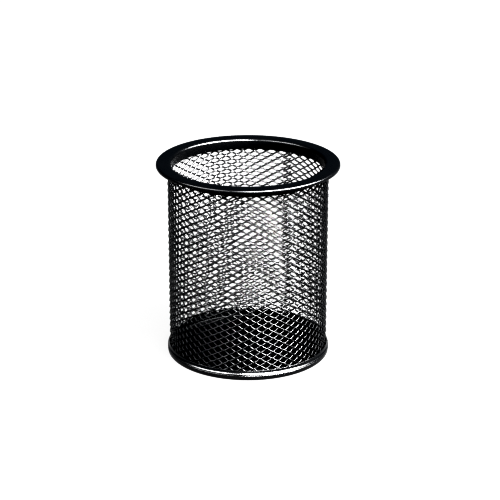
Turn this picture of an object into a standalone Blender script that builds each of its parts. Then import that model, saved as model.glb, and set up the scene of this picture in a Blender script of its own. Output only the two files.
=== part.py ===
"""Pen holder cup, in metres, +Z up, standing on Z = 0 with its axis on Z and its front towards -Y.

A strip of expanded steel mesh is rolled into the wall and lapped at one upright seam. A pressed rim
ring closes its top, a foot ring its bottom, and a flat pan inside the foot makes the floor. The wall
is built here as the plain rolled strip that the mesh fills, without its small diamond holes.
"""

import math

import bmesh
import bpy

# Overall sizes
CUP_HEIGHT = 0.1000
WALL_DIAMETER = 0.0796  # over the mesh

# Material thicknesses and the clearance between pieces that touch
WALL_THICKNESS = 0.0009  # depth of the raised mesh, from strand back to strand front
RIM_STEEL = 0.0005
PAN_STEEL = 0.0006
FOOT_STEEL = 0.0006
GAP = 0.0003

# Wall seam: one end of the strip lies over the other, each half as thick there
SEAM_ANGLE = math.radians(59.0)  # from +X towards +Y, at the back right
SEAM_LAP = 0.0034  # measured around the wall

# Top rim
COLLAR_DEPTH = 0.0055  # from the flange's top down to the collar's edge
COLLAR_BEND = 0.0015  # radius of the edge between collar and flange
FLANGE_OVERHANG = 0.0058  # from the wall out to the lip
LIP_DEPTH = 0.0020  # from the flange's top down to the lip's rolled edge
LIP_BEND = 0.0011
LIP_CURL = 0.0005  # middle radius of the rolled edge

# Floor pan
PAN_BEND = 0.0012
PAN_COLLAR_HEIGHT = 0.0039  # from the pan's underside up

# Foot ring
FOOT_HEIGHT = 0.0049  # up to the top of the shoulder
BEAD_WIDTH = 0.00097  # from the wall's clearance out to the bead
BEAD_HEIGHT = 0.0033
BEAD_ROUND = 0.0007  # radius of the bead's lower edge
GROOVE_HEIGHT = 0.0027
GROOVE_RADIUS = 0.00022
SHOULDER_LAND = 0.00022  # width of the shoulder's top edge
FOOT_FLANGE = 0.0055  # width of the flat underside, from the bead inwards

# Segments around each round piece
AROUND = 72

# Radii and heights worked out from the sizes above
WALL_OUTER = WALL_DIAMETER / 2
WALL_INNER = WALL_OUTER - WALL_THICKNESS
LINER_OUTER = WALL_INNER - GAP  # both collars lie inside the wall
RIM_OUTER = WALL_OUTER + FLANGE_OVERHANG
FOOT_INNER = WALL_OUTER + GAP
FOOT_OUTER = FOOT_INNER + BEAD_WIDTH
SEAT_HEIGHT = FOOT_STEEL + GAP  # the wall and the pan both stand on the foot ring's flange
WALL_HEIGHT = CUP_HEIGHT - COLLAR_BEND - SEAT_HEIGHT


def clear_scene():
    """Removes everything the scene starts with."""
    for item in list(bpy.data.objects):
        bpy.data.objects.remove(item, do_unlink=True)


def painted_steel(name, value, roughness):
    """A black painted finish of the given grey value."""
    material = bpy.data.materials.new(name)
    material.use_nodes = True
    shader = material.node_tree.nodes["Principled BSDF"]
    shader.inputs["Base Color"].default_value = (value, value, value, 1.0)
    shader.inputs["Roughness"].default_value = roughness
    shader.inputs["Metallic"].default_value = 0.0
    material.diffuse_color = (value, value, value, 1.0)
    return material


def arc(centre, radius, start, end, steps):
    """Points (distance from the axis, height) along an arc between two angles in degrees."""
    points = []
    for step in range(steps + 1):
        angle = math.radians(start + (end - start) * step / steps)
        points.append((centre[0] + radius * math.cos(angle), centre[1] + radius * math.sin(angle)))
    return points


def cove(start, corner, end, steps):
    """Points of a hollow curve that leaves one point towards the corner and ends at the other."""
    points = []
    for step in range(steps + 1):
        t = step / steps
        weights = ((1 - t) ** 2, 2 * t * (1 - t), t**2)
        points.append(
            tuple(sum(w * p[axis] for w, p in zip(weights, (start, corner, end))) for axis in (0, 1))
        )
    return points


def sheet_outline(path, thickness):
    """The outline of sheet metal whose middle follows the path: its left side, then back on its right."""
    left = []
    right = []
    for index, (x, z) in enumerate(path):
        before = path[max(index - 1, 0)]
        after = path[min(index + 1, len(path) - 1)]
        normals = []
        for (x0, z0), (x1, z1) in ((before, (x, z)), ((x, z), after)):
            length = math.hypot(x1 - x0, z1 - z0)
            if length > 0:
                normals.append(((z0 - z1) / length, (x1 - x0) / length))
        nx = sum(n[0] for n in normals) / len(normals)
        nz = sum(n[1] for n in normals) / len(normals)
        reach = thickness / 2 / (nx * nx + nz * nz)
        left.append((x + nx * reach, z + nz * reach))
        right.append((x - nx * reach, z - nz * reach))
    return left + right[::-1]


def turned(name, outline, height, material, closed=True):
    """A round piece: the outline turned about Z, and placed with its own zero at the given height."""
    mesh = bpy.data.meshes.new(name)
    bm = bmesh.new()
    verts = [bm.verts.new((x, 0.0, z)) for x, z in outline]
    for first, second in zip(verts, verts[1:]):
        bm.edges.new((first, second))
    if closed:
        bm.edges.new((verts[-1], verts[0]))
    bm.to_mesh(mesh)
    bm.free()
    piece = bpy.data.objects.new(name, mesh)
    bpy.context.scene.collection.objects.link(piece)
    turn = piece.modifiers.new("turn", "SCREW")
    turn.axis = "Z"
    turn.steps = AROUND
    turn.render_steps = AROUND
    turn.use_merge_vertices = True
    turn.merge_threshold = 0.00001
    turn.use_smooth_shade = True
    piece.location = (0.0, 0.0, height)
    mesh.materials.append(material)
    return piece


def around_wall(radius, angles):
    """Plan points at one radius, at the given angles from the seam."""
    return [
        (radius * math.cos(SEAM_ANGLE + a), radius * math.sin(SEAM_ANGLE + a)) for a in angles
    ]


def make_wall(material):
    """The rolled strip, with a clearance between its two half-thick ends where they lap."""
    lap = SEAM_LAP / WALL_OUTER / 2
    slit = GAP / WALL_OUTER
    full = 2 * math.pi
    main = [lap + (full - 2 * lap) * step / AROUND for step in range(AROUND + 1)]
    outer_lap_face = (WALL_OUTER + WALL_INNER + GAP) / 2
    inner_lap_face = (WALL_OUTER + WALL_INNER - GAP) / 2
    outline = around_wall(WALL_OUTER, main + [full + lap - slit])
    outline += around_wall(outer_lap_face, [full + lap - slit, full - lap])
    outline += around_wall(WALL_INNER, main[::-1] + [slit - lap])
    outline += around_wall(inner_lap_face, [slit - lap, lap])

    mesh = bpy.data.meshes.new("mesh_wall")
    bm = bmesh.new()
    floor = bm.faces.new([bm.verts.new((x, y, 0.0)) for x, y in outline])
    grown = bmesh.ops.extrude_face_region(bm, geom=[floor])
    top = [item for item in grown["geom"] if isinstance(item, bmesh.types.BMVert)]
    bmesh.ops.translate(bm, verts=top, vec=(0.0, 0.0, WALL_HEIGHT))
    bmesh.ops.recalc_face_normals(bm, faces=bm.faces)
    for face in bm.faces:
        face.smooth = len(face.verts) == 4
    bm.to_mesh(mesh)
    bm.free()
    wall = bpy.data.objects.new("mesh_wall", mesh)
    bpy.context.scene.collection.objects.link(wall)
    wall.location = (0.0, 0.0, SEAT_HEIGHT)
    mesh.materials.append(material)
    return wall


def make_rim(material):
    """Collar, flat flange and turned-down lip with a rolled edge, measured from the flange's top."""
    half = RIM_STEEL / 2
    collar = LINER_OUTER - half
    lip = RIM_OUTER - half
    inner_bend = COLLAR_BEND - half
    outer_bend = LIP_BEND - half
    path = [(collar, -COLLAR_DEPTH)]
    path += arc((collar + inner_bend, -half - inner_bend), inner_bend, 180, 90, 5)
    path += arc((lip - outer_bend, -half - outer_bend), outer_bend, 90, 0, 4)
    path += arc((lip - LIP_CURL, LIP_CURL + half - LIP_DEPTH), LIP_CURL, 0, -180, 6)
    return turned("top_rim", sheet_outline(path, RIM_STEEL), CUP_HEIGHT, material)


def make_pan(material):
    """Flat floor disc with a collar turned up inside the wall, measured from its underside."""
    half = PAN_STEEL / 2
    collar = LINER_OUTER - half
    bend = PAN_BEND - half
    path = [(0.0, half)]
    path += arc((collar - bend, half + bend), bend, -90, 0, 4)
    path += [(collar, PAN_COLLAR_HEIGHT)]
    return turned("base_pan", sheet_outline(path, PAN_STEEL), SEAT_HEIGHT, material, closed=False)


def make_foot(material):
    """Outer ring of the foot: shoulder, grooved bead, and the flange that the cup stands on."""
    outline = [(FOOT_INNER, FOOT_HEIGHT)]
    outline += cove(
        (FOOT_INNER + SHOULDER_LAND, FOOT_HEIGHT),
        (FOOT_INNER + SHOULDER_LAND, BEAD_HEIGHT),
        (FOOT_OUTER, BEAD_HEIGHT),
        4,
    )
    outline += arc((FOOT_OUTER, GROOVE_HEIGHT), GROOVE_RADIUS, 90, 270, 4)
    outline += arc((FOOT_OUTER - BEAD_ROUND, BEAD_ROUND), BEAD_ROUND, 0, -90, 4)
    flange_edge = FOOT_OUTER - FOOT_FLANGE
    outline += [(flange_edge, 0.0), (flange_edge, FOOT_STEEL), (FOOT_INNER, FOOT_STEEL)]
    return turned("foot_ring", outline, 0.0, material)


def main():
    clear_scene()
    make_wall(painted_steel("mesh_paint", 0.02, 0.35))
    make_rim(painted_steel("rim_paint", 0.02, 0.25))
    make_pan(painted_steel("pan_paint", 0.02, 0.30))
    make_foot(painted_steel("foot_paint", 0.02, 0.25))


main()
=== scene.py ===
"""Looks of the pen holder cup: expanded steel mesh, rim ring, floor pan and foot ring in black enamel.

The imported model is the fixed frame. Each piece is modelled at its place, in metres, +Z up.
"""

import math

import bmesh
import bpy
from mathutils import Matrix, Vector


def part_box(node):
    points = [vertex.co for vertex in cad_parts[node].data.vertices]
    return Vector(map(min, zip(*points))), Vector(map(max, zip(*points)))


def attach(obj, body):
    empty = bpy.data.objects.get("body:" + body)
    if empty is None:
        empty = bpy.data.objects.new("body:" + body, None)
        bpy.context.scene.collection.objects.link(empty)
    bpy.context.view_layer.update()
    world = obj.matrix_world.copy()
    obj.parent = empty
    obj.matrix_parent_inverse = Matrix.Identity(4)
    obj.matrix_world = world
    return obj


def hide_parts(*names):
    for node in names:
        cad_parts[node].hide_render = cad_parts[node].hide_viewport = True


bl_info = {
    "name": "Pen Holder Cup",
    "version": (1, 0, 0),
    "blender": (4, 5, 0),
    "location": "3D View > Sidebar > Pen Cup",
    "description": "Models a desk cup of expanded steel mesh with its rim, floor pan and foot ring",
    "category": "Add Mesh",
}

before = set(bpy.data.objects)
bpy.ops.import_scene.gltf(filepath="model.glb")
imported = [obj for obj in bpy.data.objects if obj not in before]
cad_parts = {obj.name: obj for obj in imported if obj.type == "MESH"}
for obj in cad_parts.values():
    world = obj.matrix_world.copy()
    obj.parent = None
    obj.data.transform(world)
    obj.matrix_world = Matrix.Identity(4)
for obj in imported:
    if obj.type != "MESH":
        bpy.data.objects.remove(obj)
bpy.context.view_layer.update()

WALL_LOW, WALL_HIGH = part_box("mesh_wall")
RIM_LOW, RIM_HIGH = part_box("top_rim")
PAN_LOW, PAN_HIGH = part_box("base_pan")
FOOT_LOW, FOOT_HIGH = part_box("foot_ring")

MM = 0.001
FULL_TURN = 2 * math.pi
MERGE = 0.000002  # points closer than this are one
ON_CUT = MERGE / 20  # points closer than this to a cut lie on it
AROUND = 192  # segments around each pressed piece

WALL_OUTER = (WALL_HIGH.x - WALL_LOW.x) / 2
WALL_DEPTH = 0.9 * MM  # of the plain strip that the mesh fills
CLEARANCE = 0.3 * MM  # between the wall and the pieces inside and outside it

# The share of an arm's length and of its rise that its first joint has reached
ARM_JOINT = (0.42, 0.36)

# Name, azimuth from the front and elevation in degrees, distance, size and power of each light
LIGHTS = (
    ("key_light", 38, 45, 3.2, (4.2, 1.6), 2900),
    ("left_light", -60, 42, 1.6, (1.6, 0.7), 130),
    ("right_light", 85, 42, 1.6, (1.4, 0.7), 170),
)
LIGHTS_AIM = (0, 0, 0.05)
SKY = (0.12, 0.15, 0.18, 1)  # dim light from all round

# Exposure: the values shown as black and white, and the curve between them
BLACK_LEVEL = 0.042
WHITE_LEVEL = 0.82
CONTRAST = ((0.20, 0.055), (0.50, 0.33), (0.75, 0.80))


# ---------------------------------------------------------------- sizes and finishes


class PenCupMesh(bpy.types.PropertyGroup):
    """Sizes of the expanded mesh and where its pattern and seam lie."""

    cell_angle: bpy.props.FloatProperty(
        name="Diamond pitch around",
        description="Angle from one diamond to the next around the wall",
        default=math.radians(8.845),
        subtype="ANGLE",
    )
    cell_height: bpy.props.FloatProperty(
        name="Diamond pitch up",
        description="Height from one diamond to the next above it",
        default=3.522 * MM,
        unit="LENGTH",
    )
    row_drop: bpy.props.FloatProperty(
        name="Row drop",
        description="How far each diamond lies below its neighbour on the left",
        default=0.150 * MM,
        unit="LENGTH",
    )
    column_lean: bpy.props.FloatProperty(
        name="Column lean",
        description="How far each diamond lies to the right of the one below it",
        default=0.164 * MM,
        unit="LENGTH",
    )
    pattern_angle: bpy.props.FloatProperty(
        name="Pattern start",
        description="Angle from the front to one of the knuckles",
        default=math.radians(-0.86),
        subtype="ANGLE",
    )
    pattern_height: bpy.props.FloatProperty(
        name="Pattern height",
        description="Height of that knuckle above the desk",
        default=0.25 * MM,
        unit="LENGTH",
    )
    strand_width: bpy.props.FloatProperty(
        name="Strand width",
        description="Width of one strand; a knuckle is two strands wide",
        default=0.70 * MM,
        unit="LENGTH",
    )
    strand_thickness: bpy.props.FloatProperty(
        name="Strand thickness",
        description="Thickness of the painted sheet",
        default=0.58 * MM,
        unit="LENGTH",
    )
    knuckle_length: bpy.props.FloatProperty(
        name="Knuckle length",
        description="Length around the wall of the bond between strands",
        default=0.50 * MM,
        unit="LENGTH",
    )
    strand_tilt: bpy.props.FloatProperty(
        name="Strand tilt",
        description="Turn of the strands out of the wall; negative strands face down and outwards",
        default=math.radians(-56),
        subtype="ANGLE",
    )
    seam_angle: bpy.props.FloatProperty(
        name="Seam angle",
        description="Angle from the front to the middle of the lapped seam",
        default=math.radians(149),
        subtype="ANGLE",
    )
    seam_lap: bpy.props.FloatProperty(
        name="Seam lap",
        description="How far the strip's ends lie over each other",
        default=4.8 * MM,
        unit="LENGTH",
    )
    seam_press: bpy.props.FloatProperty(
        name="Seam press",
        description="Share of its depth that each end keeps where it is pressed flat",
        default=0.6,
        min=0.1,
        max=1.0,
    )
    seam_shift: bpy.props.FloatProperty(
        name="Seam shift",
        description="How far the two ends move apart, one outwards and one inwards",
        default=0.22 * MM,
        unit="LENGTH",
    )


class PenCupMetal(bpy.types.PropertyGroup):
    """Sizes of the pressed pieces that the frame's boxes don't give."""

    rim_steel: bpy.props.FloatProperty(
        name="Rim thickness", description="Steel of the rim ring", default=0.5 * MM, unit="LENGTH"
    )
    collar_bend: bpy.props.FloatProperty(
        name="Collar bend",
        description="Outer radius of the edge between collar and flange",
        default=1.5 * MM,
        unit="LENGTH",
    )
    lip_bend: bpy.props.FloatProperty(
        name="Lip bend",
        description="Outer radius of the edge between flange and lip",
        default=1.1 * MM,
        unit="LENGTH",
    )
    lip_depth: bpy.props.FloatProperty(
        name="Lip depth",
        description="Height of the turned-down lip with its rolled edge",
        default=2.0 * MM,
        unit="LENGTH",
    )
    curl_bend: bpy.props.FloatProperty(
        name="Curl bend",
        description="Middle radius of the lip's rolled edge",
        default=0.44 * MM,
        unit="LENGTH",
    )
    curl_rise: bpy.props.FloatProperty(
        name="Curl rise",
        description="How far the rolled edge turns back up inside the lip",
        default=0.8 * MM,
        unit="LENGTH",
    )
    cut_round: bpy.props.FloatProperty(
        name="Cut edge",
        description="Rounding of the cut edges of the rim and the pan",
        default=0.12 * MM,
        unit="LENGTH",
    )
    pan_steel: bpy.props.FloatProperty(
        name="Pan thickness", description="Steel of the floor pan", default=0.6 * MM, unit="LENGTH"
    )
    pan_bend: bpy.props.FloatProperty(
        name="Pan bend",
        description="Outer radius between the floor and its collar",
        default=1.2 * MM,
        unit="LENGTH",
    )
    bead_height: bpy.props.FloatProperty(
        name="Bead height", description="Top of the foot's bead", default=3.1 * MM, unit="LENGTH"
    )
    shoulder_land: bpy.props.FloatProperty(
        name="Shoulder land",
        description="Width of the shoulder's flat top",
        default=0.22 * MM,
        unit="LENGTH",
    )
    shoulder_hollow: bpy.props.FloatProperty(
        name="Shoulder hollow",
        description="Shape of the slope above the bead: 1 is a deep cove, 0 straight, -1 fully round",
        default=0.4,
        min=-1.0,
        max=1.0,
    )
    bead_round: bpy.props.FloatProperty(
        name="Bead edge",
        description="Radius of the bead's lower edge",
        default=0.7 * MM,
        unit="LENGTH",
    )
    groove_height: bpy.props.FloatProperty(
        name="Groove height",
        description="Height of the groove around the bead",
        default=2.55 * MM,
        unit="LENGTH",
    )
    groove_radius: bpy.props.FloatProperty(
        name="Groove radius", description="Depth of the groove", default=0.22 * MM, unit="LENGTH"
    )
    foot_flange: bpy.props.FloatProperty(
        name="Foot flange",
        description="Width of the flat underside",
        default=5.5 * MM,
        unit="LENGTH",
    )
    foot_steel: bpy.props.FloatProperty(
        name="Foot thickness",
        description="Steel of the foot's flange",
        default=0.6 * MM,
        unit="LENGTH",
    )
    foot_round: bpy.props.FloatProperty(
        name="Foot edge",
        description="Rounding of the foot's sharp edges",
        default=0.08 * MM,
        unit="LENGTH",
    )


class PenCupFinish(bpy.types.PropertyGroup):
    """Colour and gloss of the enamel."""

    enamel: bpy.props.FloatVectorProperty(
        name="Enamel",
        description="Colour of the black enamel",
        default=(0.0014, 0.0015, 0.0017),
        subtype="COLOR",
        min=0,
        max=1,
    )
    gloss: bpy.props.FloatProperty(
        name="Roughness",
        description="Roughness of the enamel on the pressed pieces",
        default=0.26,
        min=0.0,
        max=1.0,
    )
    mesh_gloss: bpy.props.FloatProperty(
        name="Mesh roughness",
        description="Roughness of the enamel on the strands",
        default=0.22,
        min=0.0,
        max=1.0,
    )


class PenCupStage(bpy.types.PropertyGroup):
    """The floor and the camera."""

    floor: bpy.props.FloatVectorProperty(
        name="Floor",
        description="Colour of the floor under its own glow; darker gives fainter shadows",
        default=(0.010, 0.010, 0.010),
        subtype="COLOR",
        min=0,
        max=1,
    )
    floor_glow: bpy.props.FloatProperty(
        name="Floor glow", description="White light that the floor gives off", default=0.66, min=0.0
    )
    floor_size: bpy.props.FloatProperty(
        name="Floor size", description="Side of the square floor", default=12.0, unit="LENGTH"
    )
    floor_gap: bpy.props.FloatProperty(
        name="Floor gap",
        description="How far the floor lies under the foot, so that their faces stay apart",
        default=0.1 * MM,
        unit="LENGTH",
    )
    camera_elevation: bpy.props.FloatProperty(
        name="Camera elevation",
        description="Angle by which the camera looks down",
        default=math.radians(20.652),
        subtype="ANGLE",
    )
    camera_distance: bpy.props.FloatProperty(
        name="Camera distance",
        description="From the camera to the point it looks at",
        default=0.8607,
        unit="LENGTH",
    )
    camera_aim: bpy.props.FloatProperty(
        name="Camera aim",
        description="Height on the axis that the camera looks at",
        default=0.0532,
        unit="LENGTH",
    )
    camera_lens: bpy.props.FloatProperty(
        name="Camera lens",
        description="Focal length for a sensor 36 mm wide",
        default=123.17,
        unit="CAMERA",
    )
    camera_shift: bpy.props.FloatProperty(
        name="Camera shift", description="Sideways framing of the cup", default=0.0039
    )


# ---------------------------------------------------------------- shader maths


class Wire:
    """A shader socket, or a number, that adds Math nodes when it is used in an expression."""

    def __init__(self, finish, socket):
        self.finish = finish
        self.socket = socket

    def math(self, operation, first, second):
        node = self.finish.node("ShaderNodeMath", {"operation": operation}, {0: first, 1: second})
        return Wire(self.finish, node.outputs[0])

    def __add__(self, other):
        return self.math("ADD", self, other)

    __radd__ = __add__

    def __sub__(self, other):
        return self.math("SUBTRACT", self, other)

    def __rsub__(self, other):
        return self.math("SUBTRACT", other, self)

    def __mul__(self, other):
        return self.math("MULTIPLY", self, other)

    __rmul__ = __mul__


class Finish:
    """A material's node tree and the one way to add a node to it."""

    def __init__(self, name, **constants):
        self.material = bpy.data.materials.new(name)
        self.material.use_nodes = True
        self.tree = self.material.node_tree
        self.shader = self.tree.nodes["Principled BSDF"]
        for socket, value in constants.items():
            self.shader.inputs[socket.replace("_", " ")].default_value = value

    def node(self, kind, settings=None, inputs=None):
        node = self.tree.nodes.new(kind)
        for key, value in (settings or {}).items():
            setattr(node, key, value)
        for key, value in (inputs or {}).items():
            self.feed(node.inputs[key], value)
        return node

    def feed(self, socket, value):
        if isinstance(value, Wire):
            value = value.socket
        if isinstance(value, bpy.types.NodeSocket):
            self.tree.links.new(value, socket)
        else:
            socket.default_value = value

    def noise(self, scale, detail):
        """Noise of a given number of grains to the metre."""
        place = self.node("ShaderNodeTexCoord").outputs["Object"]
        made = self.node(
            "ShaderNodeTexNoise", inputs={"Vector": place, "Scale": scale, "Detail": detail}
        )
        return Wire(self, made.outputs["Fac"])


def rgba(colour, factor=1.0):
    """A colour with its alpha, made lighter or darker."""
    return (colour[0] * factor, colour[1] * factor, colour[2] * factor, 1.0)


def enamel(name, colour, roughness, peel, shine):
    """Black baked enamel: an orange-peel skin, cloudy gloss and faint dust in the colour."""
    finish = Finish(name, IOR=1.5, Specular_IOR_Level=shine)
    cloud = finish.noise(90.0, detail=3.0)
    dust = finish.noise(900.0, detail=4.0)
    skin = finish.noise(1900.0, detail=2.0)
    tone = finish.node(
        "ShaderNodeMix",
        {"data_type": "RGBA"},
        {0: dust * 0.6 + cloud * 0.4, 6: rgba(colour, 0.75), 7: rgba(colour, 1.45)},
    )
    finish.feed(finish.shader.inputs["Base Color"], tone.outputs[2])
    finish.feed(finish.shader.inputs["Roughness"], cloud * 0.10 + dust * 0.05 + (roughness - 0.075))
    bump = finish.node(
        "ShaderNodeBump", inputs={"Strength": peel, "Distance": 0.02 * MM, "Height": skin}
    )
    finish.feed(finish.shader.inputs["Normal"], bump.outputs["Normal"])
    finish.material.diffuse_color = rgba(colour)
    return finish.material


# ---------------------------------------------------------------- modelling helpers


def begin():
    """Leaves edit mode and deselects everything, the frame's nodes included."""
    if bpy.context.object and bpy.context.object.mode != "OBJECT":
        bpy.ops.object.mode_set(mode="OBJECT")
    bpy.ops.object.select_all(action="DESELECT")


def pick(kind, test):
    """Selects, in edit mode, only the vertices, edges or faces whose middle passes the test.

    It returns the middle of the last one.
    """
    bpy.ops.mesh.select_mode(type=kind)
    bpy.ops.mesh.select_all(action="DESELECT")
    bm = bmesh.from_edit_mesh(bpy.context.object.data)
    parts = {"VERT": bm.verts, "EDGE": bm.edges, "FACE": bm.faces}[kind]
    found = None
    for part in parts:
        if kind == "VERT":
            middle = part.co
        elif kind == "EDGE":
            middle = (part.verts[0].co + part.verts[1].co) / 2
        else:
            middle = part.calc_center_median()
        if test(middle, part):
            part.select_set(True)
            found = middle.copy()
    bm.select_flush_mode()
    bmesh.update_edit_mesh(bpy.context.object.data)
    return found


def apply_modifier(piece, name, kind, **settings):
    """Adds a modifier with its settings and applies it."""
    modifier = piece.modifiers.new(name, kind)
    for key, value in settings.items():
        setattr(modifier, key, value)
    bpy.ops.object.modifier_apply(modifier=modifier.name)


def hand_over(piece, name, node, material):
    """Names a finished piece, gives it its finish and ties it to the frame."""
    piece.name = name
    piece.data.name = name
    piece.data.materials.clear()
    piece.data.materials.append(material)
    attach(piece, "root")
    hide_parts(node)


def start_ring(radius, height):
    """A ring of edges around the axis, in edit mode and selected."""
    begin()
    bpy.ops.mesh.primitive_circle_add(vertices=AROUND, radius=radius, location=(0, 0, 0))
    bpy.ops.object.mode_set(mode="EDIT")
    bpy.ops.mesh.select_all(action="SELECT")
    bpy.ops.transform.translate(value=(0, 0, height))
    return bpy.context.object


def draw_ring(last, radius, height):
    """Extrudes the selected ring to a new radius and height, and returns the new place."""
    bpy.ops.mesh.extrude_edges_move(TRANSFORM_OT_translate={"value": (0, 0, height - last[1])})
    grow = radius / last[0]
    bpy.ops.transform.resize(value=(grow, grow, 1), center_override=(0, 0, height))
    return (radius, height)


def draw_profile(points):
    """A turned skin through (radius, height) points, drawn ring by ring."""
    piece = start_ring(*points[0])
    last = points[0]
    for radius, height in points[1:]:
        last = draw_ring(last, radius, height)
    return piece


def round_ring(radius, height, width, segments):
    """Bevels the ring of edges that lies at this radius and height."""

    def on_ring(middle, edge):
        first, second = (vertex.co for vertex in edge.verts)
        level = abs(first.z - height) < MERGE and abs(second.z - height) < MERGE
        near = abs(math.hypot(first.x, first.y) - radius) < 5 * MERGE
        return level and near and abs(math.hypot(second.x, second.y) - radius) < 5 * MERGE

    pick("EDGE", on_ring)
    bpy.ops.mesh.bevel(offset=width, segments=segments, affect="EDGES")


def face_outwards():
    """Turns every face of the piece in edit mode outwards, and leaves edit mode."""
    bpy.ops.mesh.select_all(action="SELECT")
    bpy.ops.mesh.normals_make_consistent(inside=False)
    bpy.ops.object.mode_set(mode="OBJECT")


def round_edges(piece, width, sharper):
    """Bevels the edges that turn by more than an angle in degrees, and shades the piece smooth."""
    apply_modifier(
        piece,
        "edges",
        "BEVEL",
        width=width,
        segments=2,
        limit_method="ANGLE",
        angle_limit=math.radians(sharper),
    )
    bpy.ops.object.shade_smooth_by_angle(angle=math.radians(40))


def arc(centre, radius, start, end, steps):
    """Points (radius, height) along an arc between two angles in degrees."""
    points = []
    for step in range(steps + 1):
        angle = math.radians(start + (end - start) * step / steps)
        points.append((centre[0] + radius * math.cos(angle), centre[1] + radius * math.sin(angle)))
    return points


def cove(start, corner, end, steps):
    """Points (radius, height) of a curve that leaves the start towards the corner."""
    points = []
    for step in range(steps + 1):
        t = step / steps
        weights = ((1 - t) ** 2, 2 * t * (1 - t), t**2)
        points.append(
            tuple(sum(w * p[axis] for w, p in zip(weights, (start, corner, end))) for axis in (0, 1))
        )
    return points


# ---------------------------------------------------------------- the pieces


class PENCUP_OT_wall(bpy.types.Operator):
    """Model the rolled wall of raised expanded mesh with its lapped seam"""

    bl_idname = "pencup.wall"
    bl_label = "Mesh wall"

    def execute(self, context):
        sizes = context.scene.pen_cup_mesh
        radius = WALL_OUTER - WALL_DEPTH / 2
        pitch = sizes.cell_angle * radius
        right_up = ((pitch + sizes.column_lean) / 2, (sizes.cell_height - sizes.row_drop) / 2)
        right_down = (pitch - right_up[0], -sizes.row_drop - right_up[1])

        # One knuckle, split along its middle into the halves of two strands
        begin()
        bpy.ops.mesh.primitive_cube_add(size=1, location=(0, 0, 0))
        wall = context.object
        bpy.ops.object.mode_set(mode="EDIT")
        bpy.ops.mesh.select_all(action="SELECT")
        knuckle = (sizes.knuckle_length, sizes.strand_thickness, 2 * sizes.strand_width)
        bpy.ops.transform.resize(value=knuckle, center_override=(0, 0, 0))
        bpy.ops.mesh.bisect(plane_co=(0, 0, 0), plane_no=(0, 0, 1))
        bpy.ops.mesh.select_all(action="SELECT")
        bpy.ops.transform.rotate(
            value=sizes.strand_tilt, orient_axis="X", center_override=(0, 0, 0)
        )

        # Its four arms, each drawn to the middle of a strand and left open there
        for side, half, end in (
            (1, 1, right_up),
            (1, -1, right_down),
            (-1, 1, (-right_down[0], -right_down[1])),
            (-1, -1, (-right_up[0], -right_up[1])),
        ):
            self.draw_arm(sizes, side, half, (end[0] / 2, end[1] / 2))

        # The pair of knuckles that repeats, moved to the strip's lower left corner
        bpy.ops.mesh.select_all(action="SELECT")
        bpy.ops.mesh.duplicate_move(
            TRANSFORM_OT_translate={"value": (right_up[0], 0, right_up[1])}
        )
        low = sizes.seam_angle - FULL_TURN - sizes.seam_lap / 2 / radius
        high = sizes.seam_angle + sizes.seam_lap / 2 / radius
        columns_left = math.ceil((sizes.pattern_angle - low) / sizes.cell_angle) + 2
        columns = columns_left + math.ceil((high - sizes.pattern_angle) / sizes.cell_angle) + 2
        rows_below = math.ceil(columns * sizes.row_drop / sizes.cell_height) + 2
        rows = rows_below + math.ceil(WALL_HIGH.z / sizes.cell_height) + 3
        bpy.ops.mesh.select_all(action="SELECT")
        bpy.ops.transform.translate(
            value=(
                sizes.pattern_angle * radius - columns_left * pitch - rows_below * sizes.column_lean,
                0,
                sizes.pattern_height + columns_left * sizes.row_drop - rows_below * sizes.cell_height,
            )
        )
        bpy.ops.object.mode_set(mode="OBJECT")

        apply_modifier(
            wall,
            "columns",
            "ARRAY",
            count=columns + 1,
            use_relative_offset=False,
            use_constant_offset=True,
            constant_offset_displace=(pitch, 0, -sizes.row_drop),
        )
        apply_modifier(
            wall,
            "rows",
            "ARRAY",
            count=rows,
            use_relative_offset=False,
            use_constant_offset=True,
            constant_offset_displace=(sizes.column_lean, 0, sizes.cell_height),
        )

        # Weld the strands and cut the strip to size
        bpy.ops.object.mode_set(mode="EDIT")
        bpy.ops.mesh.select_all(action="SELECT")
        bpy.ops.mesh.remove_doubles(threshold=MERGE)
        for place, outwards in (
            ((low * radius, 0, 0), (-1, 0, 0)),
            ((high * radius, 0, 0), (1, 0, 0)),
            ((0, 0, WALL_LOW.z), (0, 0, -1)),
            ((0, 0, WALL_HIGH.z), (0, 0, 1)),
        ):
            bpy.ops.mesh.select_all(action="SELECT")
            bpy.ops.mesh.bisect(
                plane_co=place,
                plane_no=outwards,
                use_fill=True,
                clear_outer=True,
                threshold=ON_CUT,
            )

        # Press the two ends flat where they lap, one outside the other
        for outward, test in (
            (-sizes.seam_shift, lambda middle, part: middle.x > high * radius - sizes.seam_lap),
            (sizes.seam_shift, lambda middle, part: middle.x < low * radius + sizes.seam_lap),
        ):
            pick("VERT", test)
            bpy.ops.transform.resize(value=(1, sizes.seam_press, 1), center_override=(0, 0, 0))
            bpy.ops.transform.translate(value=(0, outward, 0))
        bpy.ops.object.mode_set(mode="OBJECT")

        # Roll the strip round the axis, its front face outwards
        xs = [vertex.co.x for vertex in wall.data.vertices]
        apply_modifier(
            wall,
            "roll",
            "SIMPLE_DEFORM",
            deform_method="BEND",
            deform_axis="Z",
            angle=(max(xs) - min(xs)) / radius,
        )
        bpy.ops.object.mode_set(mode="EDIT")
        bpy.ops.mesh.select_all(action="SELECT")
        bpy.ops.transform.translate(value=(0, -radius, 0))
        bpy.ops.object.mode_set(mode="OBJECT")
        bpy.ops.object.shade_smooth()
        finish = context.scene.pen_cup_finish
        material = enamel("mesh_enamel", finish.enamel, finish.mesh_gloss, peel=0.15, shine=0.35)
        hand_over(wall, "expanded_mesh", "mesh_wall", material)
        return {"FINISHED"}

    def draw_arm(self, sizes, side, half, end):
        """Draws one arm out of the knuckle's end in two steps, and leaves its far end open."""

        def end_face(middle, face):
            return face.normal.x * side > 0.99 and middle.z * half > 0 and middle.x * side > 0

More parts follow.
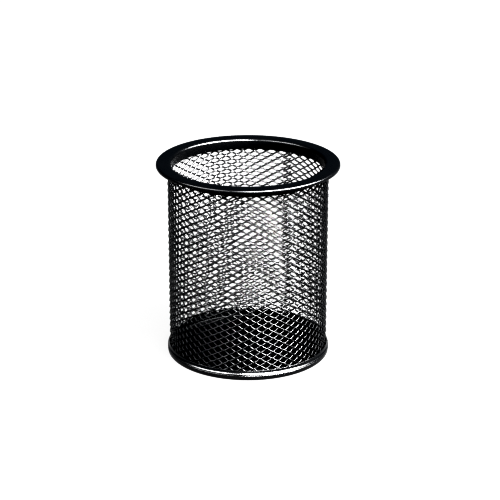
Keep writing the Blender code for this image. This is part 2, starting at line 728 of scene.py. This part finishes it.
        start = pick("FACE", end_face)
        for along, up in (ARM_JOINT, (1 - ARM_JOINT[0], 1 - ARM_JOINT[1])):
            move = ((end[0] - start.x) * along, -start.y * up, (end[1] - start.z) * up)
            bpy.ops.mesh.extrude_region_move(TRANSFORM_OT_translate={"value": move})
        bpy.ops.mesh.delete(type="FACE")


class PENCUP_OT_rim(bpy.types.Operator):
    """Model the pressed rim ring: collar, flat flange and rolled lip"""

    bl_idname = "pencup.rim"
    bl_label = "Rim ring"

    def execute(self, context):
        sizes = context.scene.pen_cup_metal
        half = sizes.rim_steel / 2
        collar = WALL_OUTER - WALL_DEPTH - CLEARANCE - half
        lip = (RIM_HIGH.x - RIM_LOW.x) / 2 - half
        top = RIM_HIGH.z - half
        hem = RIM_HIGH.z - sizes.lip_depth + half
        curl = 2 * sizes.rim_steel
        rim = draw_profile(
            [
                (collar, RIM_LOW.z),
                (collar, top),
                (lip, top),
                (lip, hem),
                (lip - curl, hem),
                (lip - curl, hem + sizes.curl_rise),
            ]
        )
        round_ring(collar, top, sizes.collar_bend - half, 6)
        round_ring(lip, top, sizes.lip_bend - half, 6)
        round_ring(lip, hem, sizes.curl_bend, 4)
        round_ring(lip - curl, hem, sizes.curl_bend, 4)
        face_outwards()
        apply_modifier(rim, "steel", "SOLIDIFY", thickness=sizes.rim_steel, offset=0.0)
        round_edges(rim, sizes.cut_round, 60)
        finish = context.scene.pen_cup_finish
        material = enamel("rim_enamel", finish.enamel, finish.gloss + 0.02, peel=0.2, shine=0.24)
        hand_over(rim, "rim_ring", "top_rim", material)
        return {"FINISHED"}


class PENCUP_OT_pan(bpy.types.Operator):
    """Model the floor pan: a flat disc with its edge turned up inside the wall"""

    bl_idname = "pencup.pan"
    bl_label = "Floor pan"

    def execute(self, context):
        sizes = context.scene.pen_cup_metal
        half = sizes.pan_steel / 2
        collar = (PAN_HIGH.x - PAN_LOW.x) / 2 - half
        floor = PAN_LOW.z + half
        pan = draw_profile([(collar, PAN_HIGH.z), (collar, floor), (collar / 2, floor)])
        bpy.ops.mesh.edge_face_add()
        bpy.ops.mesh.poke()
        round_ring(collar, floor, sizes.pan_bend - half, 5)
        face_outwards()
        apply_modifier(pan, "steel", "SOLIDIFY", thickness=sizes.pan_steel, offset=0.0)
        round_edges(pan, sizes.cut_round, 60)
        finish = context.scene.pen_cup_finish
        material = enamel("pan_enamel", finish.enamel, finish.gloss + 0.1, peel=0.25, shine=0.15)
        hand_over(pan, "floor_pan", "base_pan", material)
        return {"FINISHED"}


class PENCUP_OT_foot(bpy.types.Operator):
    """Model the foot ring: shoulder, grooved bead and the flange under the pan"""

    bl_idname = "pencup.foot"
    bl_label = "Foot ring"

    def execute(self, context):
        sizes = context.scene.pen_cup_metal
        outer = (FOOT_HIGH.x - FOOT_LOW.x) / 2
        inner = WALL_OUTER + CLEARANCE
        top = FOOT_HIGH.z
        land = inner + sizes.shoulder_land
        flange = outer - sizes.foot_flange
        slope = (sizes.shoulder_hollow - 1) / 2
        corner = (land - slope * (outer - land), sizes.bead_height - slope * (top - sizes.bead_height))
        outline = [(inner, top)]
        outline += cove((land, top), corner, (outer, sizes.bead_height), 6)
        outline += arc((outer, sizes.groove_height), sizes.groove_radius, 90, 270, 6)
        outline += arc((outer - sizes.bead_round, sizes.bead_round), sizes.bead_round, 0, -90, 6)
        outline += [(flange, 0.0), (flange, sizes.foot_steel), (inner, sizes.foot_steel)]
        foot = draw_profile(outline + [outline[0]])
        bpy.ops.mesh.select_all(action="SELECT")
        bpy.ops.mesh.remove_doubles(threshold=MERGE)
        face_outwards()
        round_edges(foot, sizes.foot_round, 50)
        finish = context.scene.pen_cup_finish
        material = enamel("foot_enamel", finish.enamel, finish.gloss - 0.04, peel=0.15, shine=0.45)
        hand_over(foot, "foot_bead", "foot_ring", material)
        return {"FINISHED"}


# ---------------------------------------------------------------- the stage


def soft_box(name, azimuth, elevation, distance, size, power, aim):
    """A rectangular studio light that looks at the aim. Azimuth is from the front towards +X."""
    light = bpy.data.lights.new(name, "AREA")
    light.shape = "RECTANGLE"
    light.size, light.size_y = size
    light.energy = power
    lamp = bpy.data.objects.new(name, light)
    bpy.context.scene.collection.objects.link(lamp)
    a = math.radians(azimuth)
    e = math.radians(elevation)
    away = (math.sin(a) * math.cos(e), -math.cos(a) * math.cos(e), math.sin(e))
    lamp.location = [at + distance * step for at, step in zip(aim, away)]
    look(lamp, aim)


def look(thing, aim):
    """Turns a light or camera to face a point."""
    direction = Vector(aim) - thing.location
    thing.rotation_mode = "QUATERNION"
    thing.rotation_quaternion = direction.to_track_quat("-Z", "Y")


class PENCUP_OT_stage(bpy.types.Operator):
    """Lay the pale floor, hang the studio lights and place the camera"""

    bl_idname = "pencup.stage"
    bl_label = "Stage"

    def execute(self, context):
        sizes = context.scene.pen_cup_stage
        begin()
        bpy.ops.mesh.primitive_plane_add(size=sizes.floor_size, location=(0, 0, -sizes.floor_gap))
        floor = context.object
        floor.name = "floor"
        floor.data.materials.append(self.floor_paint(sizes))

        for light in LIGHTS:
            soft_box(*light, LIGHTS_AIM)
        world = bpy.data.worlds.new("studio")
        world.use_nodes = True
        world.node_tree.nodes["Background"].inputs["Color"].default_value = SKY
        context.scene.world = world

        view = context.scene.view_settings
        view.view_transform = "Standard"
        view.use_curve_mapping = True
        view.curve_mapping.black_level = (BLACK_LEVEL,) * 3
        view.curve_mapping.white_level = (WHITE_LEVEL,) * 3
        for value, shown in CONTRAST:
            view.curve_mapping.curves[3].points.new(value, shown)
        view.curve_mapping.update()

        self.place_camera(context.scene, sizes)
        return {"FINISHED"}

    def floor_paint(self, sizes):
        """Matt floor that glows white by itself, faintly clouded."""
        paint = Finish(
            "floor_paint",
            Roughness=0.9,
            Emission_Color=(1.0, 1.0, 1.0, 1.0),
            Emission_Strength=sizes.floor_glow,
            Specular_IOR_Level=0.1,
        )
        tone = paint.node(
            "ShaderNodeMix",
            {"data_type": "RGBA"},
            {0: paint.noise(40.0, detail=3.0), 6: rgba(sizes.floor, 0.99), 7: rgba(sizes.floor, 1.01)},
        )
        paint.feed(paint.shader.inputs["Base Color"], tone.outputs[2])
        return paint.material

    def place_camera(self, scene, sizes):
        """A long lens straight in front, looking down at the cup."""
        lens = bpy.data.cameras.new("camera")
        lens.lens = sizes.camera_lens
        lens.sensor_width = 36.0
        lens.shift_x = sizes.camera_shift
        camera = bpy.data.objects.new("camera", lens)
        scene.collection.objects.link(camera)
        back = sizes.camera_distance * math.cos(sizes.camera_elevation)
        rise = sizes.camera_distance * math.sin(sizes.camera_elevation)
        camera.location = (0, -back, sizes.camera_aim + rise)
        look(camera, (0, 0, sizes.camera_aim))
        scene.camera = camera


# ---------------------------------------------------------------- the add-on


class PENCUP_PT_panel(bpy.types.Panel):
    """Lists the sizes and the steps that build the cup"""

    bl_label = "Pen Holder Cup"
    bl_idname = "PENCUP_PT_panel"
    bl_space_type = "VIEW_3D"
    bl_region_type = "UI"
    bl_category = "Pen Cup"

    def draw(self, context):
        for path, kind in GROUPS.items():
            box = self.layout.box()
            for name in kind.__annotations__:
                box.prop(getattr(context.scene, path), name)
        for step in STEPS:
            self.layout.operator(step.bl_idname)


GROUPS = {
    "pen_cup_mesh": PenCupMesh,
    "pen_cup_metal": PenCupMetal,
    "pen_cup_finish": PenCupFinish,
    "pen_cup_stage": PenCupStage,
}
STEPS = (PENCUP_OT_wall, PENCUP_OT_rim, PENCUP_OT_pan, PENCUP_OT_foot, PENCUP_OT_stage)
CLASSES = (*GROUPS.values(), *STEPS, PENCUP_PT_panel)


def register():
    for kind in CLASSES:
        bpy.utils.register_class(kind)
    for path, kind in GROUPS.items():
        setattr(bpy.types.Scene, path, bpy.props.PointerProperty(type=kind))


def unregister():
    for path in GROUPS:
        delattr(bpy.types.Scene, path)
    for kind in reversed(CLASSES):
        bpy.utils.unregister_class(kind)


def main():
    register()
    bpy.ops.pencup.wall()
    bpy.ops.pencup.rim()
    bpy.ops.pencup.pan()
    bpy.ops.pencup.foot()
    bpy.ops.pencup.stage()


if __name__ == "__main__":
    main()
